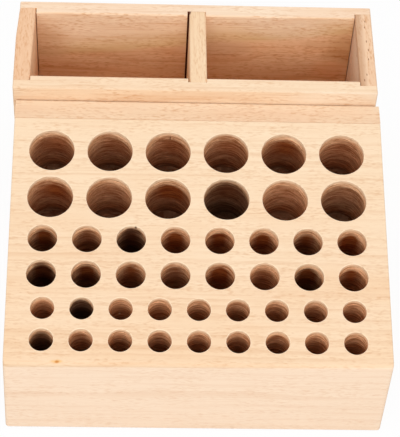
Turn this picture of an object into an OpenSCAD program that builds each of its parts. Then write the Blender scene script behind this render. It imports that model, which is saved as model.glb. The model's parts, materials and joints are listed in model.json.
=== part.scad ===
// Beech tool rack: a sloped block with six rows of blind holes in front,
// and an open box with two compartments behind it.
// Millimetres, +Z up, front face towards -Y, origin under the middle of the rack.

/* [Overall] */
// Width of the block and of the box
body_w = 160; // [150:1:200]
// Sideways step between the block and the box
stagger = 1.2; // [0:0.1:3]
// Chamfer on the edges of the boards
ease = 0.5; // [0.3:0.1:0.9]

/* [Block] */
// Height of the front face
front_h = 50; // [42:1:70]
// Tilt of the holed face
slope_deg = 10; // [6:0.5:14]
// Rounding of the front top edge
nose_r = 2; // [0.5:0.5:4]
// Rounding of the front upright edges
corner_r = 1.5; // [0.5:0.5:4]

/* [Holes] */
// Depth of the holes down to the drill's point, square to the slope
hole_depth = 30; // [15:1:30]
// Extra depth of the first hole, drilled while the stop was being set
first_extra = 0.05; // [0.05:0.05:0.3]
// Full angle of the drill's point
point_deg = 150; // [118:2:160]
// Chamfer around the mouths of the holes
rim_ease = 0.3; // [0.2:0.1:0.6]
// Diameter of the large holes
large_d = 19.5; // [16:0.5:21]
// Diameter of the medium holes
medium_d = 12.5; // [10:0.5:14]
// Diameter of the small holes
small_d = 10; // [6:0.5:12]
// Large holes in a row
large_n = 6; // [3:1:6]
// Medium holes in a row
medium_n = 8; // [4:1:8]
// Small holes in a row
small_n = 9; // [4:1:9]
// Wood between the block's side and the first large hole
large_side = 7.5; // [6:0.1:12]
// Wood between the block's side and the first medium hole
medium_side = 8.3; // [6:0.1:12]
// Wood between the block's side and the first small hole
small_side = 10.2; // [6:0.1:12]
// Sideways drift of the large rows
large_drift = -0.5; // [-2:0.1:2]
// Sideways drift of the medium rows
medium_drift = -0.4; // [-2:0.1:2]
// Wood in front of the first small row, along the slope
front_web = 5.8; // [5:0.1:10]
// Wood between the two small rows
small_web = 4.3; // [2.5:0.1:8]
// Wood between the small and the medium rows
small_medium_web = 4.4; // [2.5:0.1:8]
// Wood between the two medium rows
medium_web = 4; // [2.5:0.1:8]
// Wood between the medium and the large rows
medium_large_web = 3.8; // [2.5:0.1:8]
// Wood between the two large rows
large_web = 3.2; // [2.5:0.1:8]
// Wood behind the last large row
rear_web = 6.3; // [6.3:0.1:12]

/* [Ledge strip] */
// Depth of the flat strip behind the slope
strip_d = 10.5; // [6:0.5:20]
// Chamfer along the strip's rear top edge
strip_ease = 0.6; // [0.3:0.1:1.2]

/* [Box] */
// Thickness of the four walls
board_t = 7.2; // [6:0.2:12]
// Height of the walls above the strip
box_rise = 7.9; // [4:0.1:30]
// Depth of the compartments, front to back
bay_d = 37.6; // [25:0.1:60]
// Depth of the corner rebates in the front and back walls
rebate = 2.8; // [2.2:0.1:3.2]
// Gap beside the end walls in those rebates
rebate_play = 0.3; // [0.1:0.1:0.5]
// Thickness of the divider
divider_t = 7.4; // [5:0.2:12]
// Divider's offset from the middle of the box
divider_drift = 0.8; // [-20:0.1:20]
// Depth of the divider's grooves
divider_let = 2.5; // [1.5:0.1:3]
// Play beside the divider in its grooves
divider_play = 0.9; // [0.2:0.1:1.2]
// Thickness of the floor board
floor_t = 6; // [4:0.5:8]
// Height of the floor board's underside
floor_up = 4; // [3:0.5:10]
// Tongue of the floor board in the walls' grooves
floor_let = 2; // [1:0.1:2]
// End play of the floor board in the grooves
floor_play = 0.2; // [0.1:0.1:0.2]

/* [Hidden] */
$fn = 48;
cut_over = 1;
wood_block = [0.93, 0.78, 0.60];
wood_strip = [0.90, 0.72, 0.55];
wood_long = [0.94, 0.80, 0.63];
wood_end = [0.90, 0.73, 0.57];
wood_inner = [0.92, 0.77, 0.60];

// Row positions along the slope, from the front edge
small_row_1 = front_web + small_d / 2;
small_row_2 = small_row_1 + small_d + small_web;
medium_row_1 = small_row_2 + small_d / 2 + small_medium_web + medium_d / 2;
medium_row_2 = medium_row_1 + medium_d + medium_web;
large_row_1 = medium_row_2 + medium_d / 2 + medium_large_web + large_d / 2;
large_row_2 = large_row_1 + large_d + large_web;
slope_len = large_row_2 + large_d / 2 + rear_web;

// Distances between hole centres in a row
large_pitch = (body_w - 2 * large_side - large_d) / (large_n - 1);
medium_pitch = (body_w - 2 * medium_side - medium_d) / (medium_n - 1);
small_pitch = (body_w - 2 * small_side - small_d) / (small_n - 1);

// Overall depths and heights
block_d = slope_len * cos(slope_deg);
rear_h = front_h + slope_len * sin(slope_deg);
box_h = rear_h + box_rise;
box_d = bay_d + 2 * board_t;
total_d = block_d + strip_d + box_d;

// Positions of the sub-assemblies
block_x = stagger / 2;
box_x = -stagger / 2;
front_y = -total_d / 2;
strip_y = front_y + block_d;
box_y = strip_y + strip_d;
bay_y = box_y + board_t;
back_y = bay_y + bay_d;

// Inside of the box
bay_w = body_w - 2 * board_t;
side_len = bay_d + 2 * rebate;
floor_top = floor_up + floor_t;
divider_x = box_x + divider_drift;
divider_slot = divider_t + divider_play;

// Rectangle with chamfered corners
module eased_rect(a, b, e) {
    polygon([
        [e, 0],
        [a - e, 0],
        [a, e],
        [a, b - e],
        [a - e, b],
        [e, b],
        [0, b - e],
        [0, e]
    ]);
}

// Board with a chamfer on every edge
module eased_board(w, d, h, e) {
    intersection() {
        linear_extrude(height = h)
            eased_rect(w, d, e);
        rotate([90, 0, 90])
            linear_extrude(height = w)
                eased_rect(d, h, e);
        translate([0, d, 0])
            rotate([90, 0, 0])
                linear_extrude(height = d)
                    eased_rect(w, h, e);
    }
}

// Side view of the block: flat bottom and rear, sloped top, rounded nose
module block_profile() {
    nose_z = front_h + nose_r * tan(slope_deg) - nose_r / cos(slope_deg);
    polygon([
        [0, 0],
        [block_d, 0],
        [block_d, rear_h],
        [nose_r - nose_r * sin(slope_deg), nose_z + nose_r * cos(slope_deg)],
        [nose_r, nose_z],
        [0, nose_z]
    ]);
    translate([nose_r, nose_z])
        circle(r = nose_r);
}

// Block seen from above: a rectangle with its front corners rounded
module block_plan() {
    translate([0, corner_r])
        square([body_w, block_d - corner_r]);
    translate([corner_r, 0])
        square([body_w - 2 * corner_r, block_d]);
    for (x = [corner_r, body_w - corner_r])
        translate([x, corner_r])
            circle(r = corner_r);
}

// One drilled hole with a conical end and a chamfered mouth at z = 0
module drilled_hole(d, depth) {
    point = d / 2 / tan(point_deg / 2);
    rotate_extrude()
        polygon([
            [0, -depth - point],
            [d / 2, -depth],
            [d / 2, -rim_ease],
            [d / 2 + rim_ease + cut_over, cut_over],
            [0, cut_over]
        ]);
}

// One row of blind holes, in the slope's own plane. The first one may go deeper
module hole_row(along, d, n, pitch, drift, extra = 0) {
    for (i = [0 : n - 1])
        translate([drift + (i - (n - 1) / 2) * pitch, along, 0])
            drilled_hole(d, hole_depth + (i == 0 ? extra : 0));
}

// All six rows, from the large ones at the rear to the small ones at the front
module hole_rows() {
    translate([block_x, front_y, front_h])
        rotate([slope_deg, 0, 0]) {
            hole_row(large_row_2, large_d, large_n, large_pitch, large_drift, first_extra);
            hole_row(large_row_1, large_d, large_n, large_pitch, large_drift);
            hole_row(medium_row_2, medium_d, medium_n, medium_pitch, medium_drift);
            hole_row(medium_row_1, medium_d, medium_n, medium_pitch, medium_drift);
            hole_row(small_row_2, small_d, small_n, small_pitch, 0);
            hole_row(small_row_1, small_d, small_n, small_pitch, 0);
        }
}

// Solid front block with the sloped, holed face
module hole_block() {
    color(wood_block)
        difference() {
            translate([block_x - body_w / 2, front_y, 0])
                intersection() {
                    rotate([90, 0, 90])
                        linear_extrude(height = body_w)
                            block_profile();
                    linear_extrude(height = rear_h)
                        block_plan();
                }
            hole_rows();
        }
}

// Flat-topped strip between the block and the box
module ledge_strip() {
    color(wood_strip)
        translate([block_x - body_w / 2, strip_y, 0])
            rotate([90, 0, 90])
                linear_extrude(height = body_w)
                    polygon([
                        [0, 0],
                        [strip_d, 0],
                        [strip_d, rear_h - strip_ease],
                        [strip_d - strip_ease, rear_h],
                        [0, rear_h]
                    ]);
}

// Full-width wall lying along X, its inner face towards +Y
module long_wall() {
    difference() {
        eased_board(body_w, board_t, box_h, ease);
        for (x = [-cut_over, body_w - board_t - rebate_play])
            translate([x, board_t - rebate, -cut_over])
                cube([board_t + rebate_play + cut_over, rebate + cut_over, box_h + 2 * cut_over]);
        translate([divider_x - box_x + body_w / 2 - divider_slot / 2, board_t - divider_let, floor_top])
            cube([divider_slot, divider_let + cut_over, box_h]);
        translate([board_t - floor_let - floor_play, board_t - floor_let - floor_play, floor_up])
            cube([bay_w + 2 * floor_let + 2 * floor_play, floor_let + floor_play + cut_over, floor_t]);
    }
}

// Wall next to the strip
module front_wall() {
    color(wood_long)
        translate([box_x - body_w / 2, box_y, 0])
            long_wall();
}

// Rear wall, the front wall turned to face it
module back_wall() {
    color(wood_long)
        translate([box_x - body_w / 2, back_y + board_t, 0])
            mirror([0, 1, 0])
                long_wall();
}

// End wall let into the rebates, its inner face towards +X
module end_wall() {
    difference() {
        eased_board(board_t, side_len, box_h, ease);
        translate([board_t - floor_let - floor_play, -cut_over, floor_up])
            cube([floor_let + floor_play + cut_over, side_len + 2 * cut_over, floor_t]);
    }
}

// End wall on the left
module left_wall() {
    color(wood_end)
        translate([box_x - body_w / 2, bay_y - rebate, 0])
            end_wall();
}

// End wall on the right
module right_wall() {
    color(wood_end)
        translate([box_x + body_w / 2, bay_y - rebate, 0])
            mirror([1, 0, 0])
                end_wall();
}

// Divider between the two compartments, standing on the floor board
module divider() {
    color(wood_inner)
        translate([divider_x - divider_t / 2 + divider_play / 2, bay_y - divider_let, floor_top])
            eased_board(divider_t, bay_d + 2 * divider_let, box_h - floor_top, ease);
}

// Floor board held in the grooves of the four walls
module floor_board() {
    color(wood_inner)
        translate([box_x - bay_w / 2 - floor_let, bay_y - floor_let, floor_up])
            cube([bay_w + 2 * floor_let, bay_d + 2 * floor_let, floor_t]);
}

hole_block();
ledge_strip();
front_wall();
back_wall();
left_wall();
right_wall();
divider();
floor_board();
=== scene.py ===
"""Beech tool rack: its looks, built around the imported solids.

A sloped block with six rows of drilled holes stands in front of an open box with two bays.
"""
import json
import logging
import math
import random
from dataclasses import dataclass, field
from enum import Enum
from typing import Any

import bmesh
import bpy
from mathutils import Euler, Matrix, Vector
from mathutils.geometry import delaunay_2d_cdt


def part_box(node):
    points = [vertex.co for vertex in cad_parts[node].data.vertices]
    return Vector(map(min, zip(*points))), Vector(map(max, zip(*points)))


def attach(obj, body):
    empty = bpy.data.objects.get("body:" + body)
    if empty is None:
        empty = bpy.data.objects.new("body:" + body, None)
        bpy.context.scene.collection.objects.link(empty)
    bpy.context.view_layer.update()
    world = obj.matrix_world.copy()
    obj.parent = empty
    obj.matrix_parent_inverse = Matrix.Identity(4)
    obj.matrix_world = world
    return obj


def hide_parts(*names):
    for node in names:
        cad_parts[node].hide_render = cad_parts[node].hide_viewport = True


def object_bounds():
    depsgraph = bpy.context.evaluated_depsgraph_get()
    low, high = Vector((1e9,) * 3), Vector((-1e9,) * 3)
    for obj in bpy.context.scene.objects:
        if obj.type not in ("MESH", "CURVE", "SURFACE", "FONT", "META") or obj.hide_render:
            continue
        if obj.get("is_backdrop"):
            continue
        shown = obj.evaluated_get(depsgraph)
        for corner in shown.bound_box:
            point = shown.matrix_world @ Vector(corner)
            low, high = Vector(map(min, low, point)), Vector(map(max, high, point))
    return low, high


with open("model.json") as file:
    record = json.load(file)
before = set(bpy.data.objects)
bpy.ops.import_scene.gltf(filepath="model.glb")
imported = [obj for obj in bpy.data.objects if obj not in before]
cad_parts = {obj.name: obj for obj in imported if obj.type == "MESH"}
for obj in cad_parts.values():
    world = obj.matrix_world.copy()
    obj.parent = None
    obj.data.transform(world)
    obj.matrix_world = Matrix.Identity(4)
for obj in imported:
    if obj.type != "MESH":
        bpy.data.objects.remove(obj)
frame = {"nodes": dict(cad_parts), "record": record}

LOG = logging.getLogger("tool_rack")
MM = 0.001
BODY = "root"
WELD_M = 4e-6
FLAT_FACE_WEIGHT = 90
BARE_WOOD_SPECULAR = 0.1
BACK_INSIDE_MM = 81.1
# Depth of the patches of painted light and shade on the back wall
PAINTED_PATCH_DEEP_MM = 5.0
TO_FRONT = (0.0, -1.0, 0.0)
TO_LEFT = (-1.0, 0.0, 0.0)
Colour = tuple[float, float, float, float]


def srgb(red: float, green: float, blue: float) -> Colour:
    """Turn a colour of 0 to 255 into the linear values that shaders take.

    Args:
        red, green, blue: the colour as a screen shows it.

    Returns:
        The linear colour with full opacity.
    """
    def linear(level: float) -> float:
        """One channel, from the screen's curve to linear."""
        share = level / 255
        return share / 12.92 if share <= 0.04045 else ((share + 0.055) / 1.055) ** 2.4

    return linear(red), linear(green), linear(blue), 1.0


class Grain(Enum):
    """The way that the fibres run in a piece of wood."""

    ALONG_X = "x"
    ALONG_Y = "y"


class HoleSize(Enum):
    """The three sizes of drilled holes, by the word in their mount names."""

    LARGE = "large"
    MEDIUM = "medium"
    SMALL = "small"


class Val:
    """One output socket of a node tree. Arithmetic on it adds Math nodes to its tree."""

    def __init__(self, graph: "Graph", socket: bpy.types.NodeSocket) -> None:
        """Keep the socket and the graph that it belongs to."""
        self.graph = graph
        self.socket = socket

    def __add__(self, other: Any) -> "Val":
        """Sum."""
        return self.graph.math("ADD", self, other)

    __radd__ = __add__

    def __sub__(self, other: Any) -> "Val":
        """Difference."""
        return self.graph.math("SUBTRACT", self, other)

    def __rsub__(self, other: Any) -> "Val":
        """Difference with this value taken away."""
        return self.graph.math("SUBTRACT", other, self)

    def __mul__(self, other: Any) -> "Val":
        """Product."""
        return self.graph.math("MULTIPLY", self, other)

    __rmul__ = __mul__

    def __truediv__(self, other: Any) -> "Val":
        """Quotient."""
        return self.graph.math("DIVIDE", self, other)

    def __pow__(self, other: Any) -> "Val":
        """Power."""
        return self.graph.math("POWER", self, other)

    def __neg__(self) -> "Val":
        """The value with its sign changed."""
        return self.graph.math("MULTIPLY", self, -1.0)

    def __abs__(self) -> "Val":
        """The value without its sign."""
        return self.graph.math("ABSOLUTE", self)

    def floor(self) -> "Val":
        """The whole part."""
        return self.graph.math("FLOOR", self)

    def fract(self) -> "Val":
        """The part after the decimal point."""
        return self.graph.math("FRACT", self)

    def clamped(self) -> "Val":
        """The value held between 0 and 1."""
        return self.graph.math("MINIMUM", self.graph.math("MAXIMUM", self, 0.0), 1.0)

    def beside(self, key: int | str) -> "Val":
        """Another output of the same node."""
        return Val(self.graph, self.graph.pick(self.socket.node.outputs, key))


class Graph:
    """A node tree that is filled by method calls, for a material, a world or geometry."""

    def __init__(self, tree: bpy.types.NodeTree) -> None:
        """Start from an empty tree."""
        self.tree = tree
        self.tree.nodes.clear()

    @staticmethod
    def pick(sockets: Any, key: int | str) -> bpy.types.NodeSocket:
        """Find a socket by number, identifier or shown name.

        Args:
            sockets: a node's inputs or outputs.
            key: the number, identifier or name.

        Returns:
            The socket.
        """
        if isinstance(key, int):
            return sockets[key]
        named = [s for s in sockets if s.name == key and s.enabled]
        return named[0] if named else next(s for s in sockets if s.identifier == key)

    def node(self, kind: str, settings: dict[str, Any] | None = None,
             sockets: dict[int | str, Any] | None = None, out: int | str = 0) -> Val:
        """Add one node.

        Args:
            kind: the node's type.
            settings: its properties, set before anything else.
            sockets: values or links for its inputs.
            out: the output that is handed back.

        Returns:
            The chosen output.
        """
        made = self.tree.nodes.new(kind)
        for key, value in (settings or {}).items():
            setattr(made, key, value)
        for key, value in (sockets or {}).items():
            socket = self.pick(made.inputs, key)
            if isinstance(value, Val):
                self.tree.links.new(value.socket, socket)
            else:
                socket.default_value = value
        return Val(self, self.pick(made.outputs, out)) if len(made.outputs) else Val(self, None)

    def math(self, operation: str, *values: Any) -> Val:
        """One Math node on numbers or sockets."""
        return self.node("ShaderNodeMath", {"operation": operation}, dict(enumerate(values)))

    def vector(self, operation: str, *values: Any, out: int | str = 0) -> Val:
        """One Vector Math node on vectors or sockets."""
        return self.node("ShaderNodeVectorMath", {"operation": operation}, dict(enumerate(values)), out)

    def join(self, x: Any, y: Any, z: Any) -> Val:
        """Make a vector from three numbers."""
        return self.node("ShaderNodeCombineXYZ", None, {0: x, 1: y, 2: z})

    def split(self, vector: Val) -> tuple[Val, Val, Val]:
        """Take a vector apart into three numbers."""
        x = self.node("ShaderNodeSeparateXYZ", None, {0: vector})
        return x, x.beside(1), x.beside(2)

    def step(self, value: Val, low: float, high: float) -> Val:
        """A smooth rise from 0 to 1, or a fall where low is the larger.

        Args:
            value: what is looked at.
            low, high: where the rise starts and where it ends.

        Returns:
            A mask of 0 to 1.
        """
        if low > high:
            return 1.0 - self.step(value, high, low)
        return self.node("ShaderNodeMapRange", {"interpolation_type": "SMOOTHSTEP"},
                         {"Value": value, "From Min": low, "From Max": high})

    def noise(self, vector: Val, scale: tuple[float, float, float], detail: float = 2.0,
              rough: float = 0.5) -> Val:
        """Soft noise on a vector that is first stretched.

        Args:
            vector: the place, in millimetres.
            scale: lumps per millimetre along each axis.
            detail: octaves of finer lumps.
            rough: how strong the finer lumps are.

        Returns:
            A value around 0.5.
        """
        place = self.vector("MULTIPLY", vector, scale)
        return self.node("ShaderNodeTexNoise", {"noise_dimensions": "3D"},
                         {"Vector": place, "Scale": 1.0, "Detail": detail, "Roughness": rough})


@dataclass(frozen=True)
class Spot:
    """A stain, ray fleck or patch of painted light or shade, at a place of the rack in millimetres.

    Attributes:
        place_mm, reach_mm: its middle, and how far it goes each way.
        tone: its colour.
        share: its strength.
        way: the way that its faces look, if it keeps to those.
    """

    place_mm: tuple[float, float, float]
    reach_mm: tuple[float, float, float]
    tone: Colour
    share: float = 0.9
    way: tuple[float, float, float] | None = None


class Shade(Graph):
    """The node tree of one material."""

    SPOT_EDGE = (1.0, 0.25)
    SPOT_FRAY = 0.9
    FACING_SPAN = (0.2, 0.5)
    BUMP_STRENGTH = 0.6

    def __init__(self, name: str) -> None:
        """Make an empty material of that name."""
        self.material = bpy.data.materials.new(name)
        self.material.use_nodes = True
        super().__init__(self.material.node_tree)

    def mix(self, share: Any, first: Any, second: Any, blend: str = "MIX") -> Val:
        """Mix two colours by a share of 0 to 1."""
        return self.node("ShaderNodeMix", {"data_type": "RGBA", "blend_type": blend, "clamp_factor": True},
                         {0: share, 6: first, 7: second}, 2)

    def attribute(self, name: str) -> Val:
        """A number that the mesh carries at each point."""
        return self.node("ShaderNodeAttribute", {"attribute_type": "GEOMETRY", "attribute_name": name},
                         None, "Fac")

    def rack_mm(self) -> Val:
        """The place on the rack, in millimetres."""
        place = self.node("ShaderNodeTexCoord", None, None, "Object")
        return self.vector("MULTIPLY", place, (1 / MM,) * 3)

    def looks(self, way: Any) -> Val:
        """How far a face looks one way, from -1 to 1."""
        normal = self.node("ShaderNodeNewGeometry", None, None, "True Normal")
        return self.vector("DOT_PRODUCT", normal, way, out="Value")

    def facing(self, way: tuple[float, float, float]) -> Val:
        """1 on the faces that look one way, and 0 on the others."""
        return self.step(self.looks(way), *self.FACING_SPAN)

    def spotted(self, tone: Val, rack: Val, spots: tuple[Spot, ...], ragged: Val) -> Val:
        """Lay some spots over a tone.

        Args:
            tone: the tone below.
            rack: the place on the rack, in millimetres.
            spots: the spots.
            ragged: noise around 0.5 that frays their edges.

        Returns:
            The tone with the spots.
        """
        for spot in spots:
            away = self.vector("DIVIDE", self.vector("SUBTRACT", rack, spot.place_mm), spot.reach_mm)
            far = self.vector("LENGTH", away, out="Value") + (ragged - 0.5) * self.SPOT_FRAY
            share = self.step(far, *self.SPOT_EDGE) * spot.share
            if spot.way:
                share = share * self.facing(spot.way)
            tone = self.mix(share, tone, spot.tone)
        return tone

    def finish(self, colour: Val, roughness: Val, height: Val, bump_mm: float) -> bpy.types.Material:
        """Close the tree with one surface shader.

        Args:
            colour: the base colour.
            roughness: how dull the surface is.
            height: relief of 0 to 1.
            bump_mm: the relief's real height.

        Returns:
            The material.
        """
        normal = self.node("ShaderNodeBump", None,
                           {"Strength": self.BUMP_STRENGTH, "Distance": bump_mm * MM, "Height": height})
        surface = self.node("ShaderNodeBsdfPrincipled", None,
                            {"Base Color": colour, "Roughness": roughness, "Normal": normal,
                             "Specular IOR Level": BARE_WOOD_SPECULAR})
        self.node("ShaderNodeOutputMaterial", None, {"Surface": surface})
        return self.material


@dataclass(frozen=True)
class FaceTone:
    """Another tone on the faces that look one way, below a slanting line.

    Attributes:
        way: the way that those faces look.
        lower: the tone below the line.
        height_mm: height of the line at the middle of the rack, above all of the rack unless it is given.
        rise: climb of the line per length to the right.
        soft_mm: half the width of the change.
        upper: the tone above the line. Without one the wood's own tone stays there.
        shade_brink: a darker tone just above the line, painted shade that fades into the upper one.
        fade_mm: height of that fade.
        wavy_mm: how far the line wanders.
        gain: how much stronger the grain shows on those faces.
    """

    way: tuple[float, float, float]
    lower: Colour
    height_mm: float = 90.0
    rise: float = 0.0
    soft_mm: float = 1.0
    upper: Colour | None = None
    shade_brink: Colour | None = None
    fade_mm: float = 1.0
    wavy_mm: float = 0.0
    gain: float = 0.0


@dataclass(frozen=True)
class BeechFinish:
    """Sanded, unfinished beech: growth lines, fibres and ray flecks along one axis.

    Attributes:
        name: the material's name.
        grain: the way that the fibres run.
        tilt_deg: turn of the growth layers around the fibres.
        offset_mm: place of this board in its tree, so that no two boards match.
        pale, deep: the two tones that the wood drifts between.
        ring_mm: mean thickness of a growth layer.
        line_share, fibre_share: strength of the growth lines and of the long fibres.
        dash_share, fleck_share: strength of the short pores and of the ray flecks.
        face: another tone on some faces.
        patches: broad paler or darker patches under the grain; on the slope and the back wall they are
            painted light and shade.
        spots: small stains and large flecks over it, and painted shade in the gaps at the divider.
        pith_mm: distance of the tree's middle, which bends the growth layers.
    """

    name: str
    grain: Grain
    tilt_deg: float
    offset_mm: tuple[float, float, float]
    pale: Colour
    deep: Colour
    ring_mm: float = 3.7
    line_share: float = 0.45
    fibre_share: float = 0.5
    dash_share: float = 1.0
    fleck_share: float = 0.4
    face: FaceTone | None = None
    patches: tuple[Spot, ...] = ()
    spots: tuple[Spot, ...] = ()
    pith_mm: float = 900.0

    # What each mark does to the tone below it
    LINE_TINT = (0.88, 0.77, 0.68, 1.0)
    FIBRE_TINT = (0.92, 0.84, 0.77, 1.0)
    DASH_TINT = (0.86, 0.74, 0.64, 1.0)
    LIGHT_TINT = (1.03, 1.06, 1.09, 1.0)
    FLECK_TINT = (0.80, 0.66, 0.54, 1.0)
    END_TINT = (0.86, 0.74, 0.62, 1.0)

    # Lumps of each noise per millimetre, along the fibres and across them
    BEND_LUMPS = (0.03, 0.12, 0.12)
    RIPPLE_LUMPS = (0.1, 0.3, 0.3)
    DRIFT_LUMPS = (0.011, 0.035, 0.035)
    SWAY_LUMPS = (0.006, 0.03, 0.03)
    FADE_LUMPS = (0.02, 0.2, 0.2)
    LAYER_LUMPS = (1.0, 0.13, 1.0)
    FIBRE_LUMPS = (0.03, 1.1, 1.1)
    DASH_LUMPS = (0.36, 1.5, 1.5)
    PATCH_LUMPS = (0.05, 0.25, 0.25)
    FLECK_LUMPS = (0.4, 1.7, 1.7)
    PORE_LUMPS = (0.4, 3.5, 3.5)
    PORE_ROUGH = 0.7

    # Where a mark starts to show and where it shows in full
    DRIFT_SPAN = (0.3, 0.7)
    FIBRE_SPAN = (0.48, 0.76)
    PATCH_SPAN = (0.3, 0.65)
    DASH_SPAN = (0.49, 0.69)
    LIGHT_SPAN = (0.48, 0.29)
    PORE_SPAN = (0.5, 0.7)
    END_SPAN = (0.6, 0.95)
    FADE_SPAN = (0.25, 0.65)
    LATE_RISE = (0.3, 0.88)
    LATE_FALL = (1.0, 0.9)
    FLECK_EDGE = (0.36, 0.08)
    FLECK_PICK = (0.55, 0.75)

    # How far the fibres and the growth layers wander, in millimetres
    BEND_ACROSS_MM = 1.6
    BEND_THICK_MM = 1.1
    RIPPLE_ACROSS_MM = 0.8
    RIPPLE_THICK_MM = 0.6
    SWAY_MM = 9.0
    UNEVEN_MM = 7.0

    # The faintest growth line, the evenly darkened share of end grain, and the surface
    FAINT_LINE = 0.15
    EVEN_END = 0.45
    DULL = 0.6
    DASH_DULL = 0.15
    FLECK_SHINE = 0.1
    END_DULL = 0.1
    DASH_RELIEF = 0.5
    FIBRE_RELIEF = 0.25
    EARLY_RELIEF = 0.2
    RELIEF_MM = 0.05

    def turn(self) -> tuple[float, float, float]:
        """Euler turn that brings the fibres onto the pattern's own X axis."""
        tilt = math.radians(self.tilt_deg)
        return (tilt, 0.0, 0.0) if self.grain is Grain.ALONG_X else (0.0, tilt, -math.pi / 2)

    def make(self) -> bpy.types.Material:
        """Build the material.

        Returns:
            The material.
        """
        shade = Shade(self.name)
        rack = shade.rack_mm()
        wood = self.grained(shade, rack)
        late = self.growth_lines(shade, wood)
        fleck = self.flecks(shade, wood)
        end = self.end_grain(shade)
        fibre = shade.noise(wood, self.FIBRE_LUMPS, 1.0)
        dash = shade.noise(wood, self.DASH_LUMPS, 1.0)
        drift = shade.noise(wood, self.DRIFT_LUMPS, 2.0)
        pores = shade.noise(wood, self.PORE_LUMPS, 2.0, self.PORE_ROUGH)
        lines = late * self.line_share
        fibres = shade.step(fibre, *self.FIBRE_SPAN) * self.fibre_share
        patch = shade.step(shade.noise(wood, self.PATCH_LUMPS, 1.0), *self.PATCH_SPAN) * self.dash_share

        tone = shade.mix(shade.step(drift, *self.DRIFT_SPAN), self.pale, self.deep)
        if self.face:
            tone = self.faced(shade, tone, rack, drift)
            gain = 1.0 + shade.facing(self.face.way) * self.face.gain
            lines, fibres, patch = lines * gain, fibres * gain, patch * gain
        tone = shade.spotted(tone, rack, self.patches, drift)
        cut_across = end * (self.EVEN_END + (1.0 - self.EVEN_END) * shade.step(pores, *self.PORE_SPAN))
        marks = ((lines, self.LINE_TINT), (fibres, self.FIBRE_TINT),
                 (shade.step(dash, *self.DASH_SPAN) * patch, self.DASH_TINT),
                 (shade.step(dash, *self.LIGHT_SPAN) * patch, self.LIGHT_TINT),
                 (fleck * self.fleck_share, self.FLECK_TINT), (cut_across, self.END_TINT))
        for share, tint in marks:
            tone = shade.mix(share, tone, tint, "MULTIPLY")
        tone = shade.spotted(tone, rack, self.spots, dash)
        dull = self.DULL + dash * self.DASH_DULL - fleck * self.FLECK_SHINE + end * self.END_DULL
        relief = dash * self.DASH_RELIEF + fibre * self.FIBRE_RELIEF + (1.0 - late) * self.EARLY_RELIEF
        return shade.finish(tone, dull, relief, self.RELIEF_MM)

    def grained(self, shade: Shade, rack: Val) -> Val:
        """The place in the board's own grain, with fibres that waver around its X axis.

        Args:
            shade: the tree to add to.
            rack: the place on the rack, in millimetres.

        Returns:
            The place in the grain, in millimetres.
        """
        straight = shade.node("ShaderNodeMapping", {"vector_type": "POINT"},
                              {"Vector": rack, "Location": self.offset_mm, "Rotation": self.turn()})
        bend = shade.noise(straight, self.BEND_LUMPS, 1.0) - 0.5
        ripple = shade.noise(straight, self.RIPPLE_LUMPS, 1.0) - 0.5
        across = bend * self.BEND_ACROSS_MM + ripple * self.RIPPLE_ACROSS_MM
        thick = bend * self.BEND_THICK_MM + ripple * self.RIPPLE_THICK_MM
        return shade.vector("ADD", straight, shade.join(0.0, across, thick))

    def end_grain(self, shade: Shade) -> Val:
        """1 on the faces that cut the fibres across, and 0 on the others."""
        along = (1.0, 0.0, 0.0) if self.grain is Grain.ALONG_X else (0.0, 1.0, 0.0)
        return shade.step(abs(shade.looks(along)), *self.END_SPAN)

    def growth_lines(self, shade: Shade, wood: Val) -> Val:
        """Dark late wood at the edge of each growth layer, of uneven spacing and strength.

        Args:
            shade: the tree to add to.
            wood: the place in the board's own grain.

        Returns:
            A mask of 0 to 1.
        """
        _, across, thick = shade.split(wood)
        sway = shade.noise(wood, self.SWAY_LUMPS, 1.0) - 0.5
        radius = ((across + self.pith_mm) ** 2 + thick ** 2) ** 0.5
        uneven = shade.noise(shade.join(0.0, radius, 0.0), self.LAYER_LUMPS, 1.0) - 0.5
        ring = (radius + sway * self.SWAY_MM + uneven * self.UNEVEN_MM) / self.ring_mm
        phase = ring.fract()
        chance = shade.node("ShaderNodeTexWhiteNoise", {"noise_dimensions": "1D"}, {"W": ring.floor()})
        strength = self.FAINT_LINE + (1.0 - self.FAINT_LINE) * chance
        fade = shade.step(shade.noise(wood, self.FADE_LUMPS, 1.0), *self.FADE_SPAN)
        return shade.step(phase, *self.LATE_RISE) * shade.step(phase, *self.LATE_FALL) * strength * fade

    def flecks(self, shade: Shade, wood: Val) -> Val:
        """Short dark dashes along the fibres, where the wood's rays are cut across.

        Args:
            shade: the tree to add to.
            wood: the place in the board's own grain.

        Returns:
            A mask of 0 to 1.
        """
        place = shade.vector("MULTIPLY", wood, self.FLECK_LUMPS)
        cells = {"voronoi_dimensions": "3D", "feature": "F1", "distance": "EUCLIDEAN"}
        near = shade.node("ShaderNodeTexVoronoi", cells, {"Vector": place, "Scale": 1.0}, "Distance")
        chosen, weight, _ = shade.split(near.beside("Color"))
        return shade.step(near, *self.FLECK_EDGE) * shade.step(chosen, *self.FLECK_PICK) * weight

    def faced(self, shade: Shade, tone: Val, rack: Val, drift: Val) -> Val:
        """Lay the face tone over the wood's own one.

        Args:
            shade: the tree to add to.
            tone: the wood's own tone.
            rack, drift: the surface's place in millimetres and the slow noise.

        Returns:
            The tone with the other one on the faces that look its way.
        """
        face = self.face
        facing = shade.facing(face.way)
        x, _, z = shade.split(rack)
        over = z - x * face.rise - face.height_mm + (drift - 0.5) * face.wavy_mm
        upper = shade.step(over, -face.soft_mm, face.soft_mm)
        if not face.upper:
            return shade.mix(facing * (1.0 - upper), tone, face.lower)
        # The brink's tone is painted shade just above the line
        above = shade.mix(shade.step(over, 0.0, face.fade_mm), face.shade_brink or face.upper, face.upper)
        return shade.mix(facing, tone, shade.mix(upper, face.lower, above))


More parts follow.
